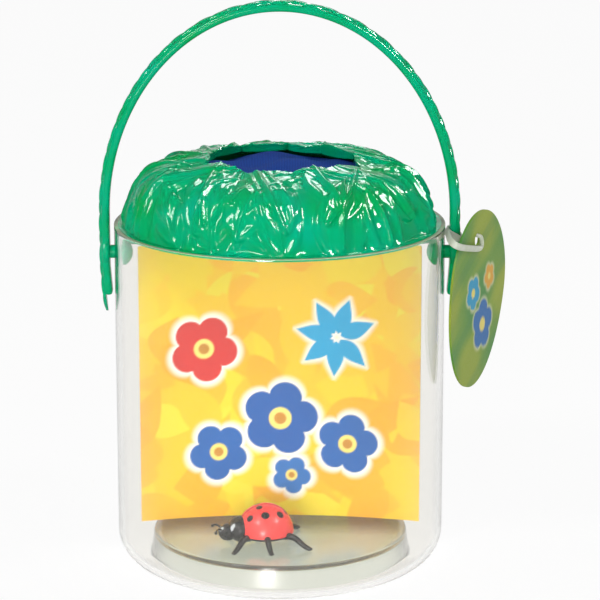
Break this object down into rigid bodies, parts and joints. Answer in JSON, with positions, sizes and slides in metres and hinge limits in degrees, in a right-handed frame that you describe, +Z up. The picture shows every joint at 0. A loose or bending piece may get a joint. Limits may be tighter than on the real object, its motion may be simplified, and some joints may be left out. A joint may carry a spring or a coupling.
{
  "type": "bug catcher jar",
  "caption": "Clear round bug catcher jar with a green leaf-dome lid, dark mesh window, swinging leaf bail, yellow insert card, hang tag and toy ladybird.",
  "frame": {"origin": "on the jar's axis, on the plane that its foot stands on", "axes": "+Z up along the jar's axis, +X towards the bail's right pivot and the tag, -Y towards the front of the card"},
  "size_m": [0.1413, 0.114, 0.1959],
  "materials": {
    "clear_plastic": "clear glossy moulded plastic",
    "green_plastic": "glossy moulded green plastic",
    "mesh_cloth": "fine dark blue woven mesh",
    "yellow_card": "printed satin card",
    "tag_card": "printed satin card",
    "milky_plastic": "milky translucent moulded strap",
    "black_plastic": "glossy black plastic",
    "red_plastic": "glossy red plastic"
  },
  "bodies": {
    "jar": {"jar": "clear_plastic", "insert_card": "yellow_card"},
    "lid": {"lid": "green_plastic", "mesh_panel": "mesh_cloth", "mesh_ring": "green_plastic"},
    "handle": {"handle": "green_plastic", "left_pivot_rivet": "green_plastic", "right_pivot_rivet": "green_plastic", "tag_strap": "milky_plastic"},
    "tag": {"tag": "tag_card"},
    "bug": {"bug_body": "black_plastic", "bug_shell": "red_plastic"}
  },
  "joints": [
    {"name": "lid_lift", "type": "slide", "parent": "jar", "child": "lid", "axis": [0, 0, 1], "range_m": [0, 0.014]},
    {"name": "handle_swing", "type": "hinge", "parent": "jar", "child": "handle", "pos_m": [0, 0, 0.1095], "axis": [1, 0, 0], "range_deg": [-130, 130]},
    {"name": "tag_swing", "type": "hinge", "parent": "handle", "child": "tag", "pos_m": [0.0678, 0, 0.1152], "axis": [0.9063, -0.4226, 0], "range_deg": [-4, 22]},
    {"name": "bug_lift", "type": "slide", "parent": "jar", "child": "bug", "axis": [0, 0, 1], "range_m": [0, 0.08]}
  ]
}
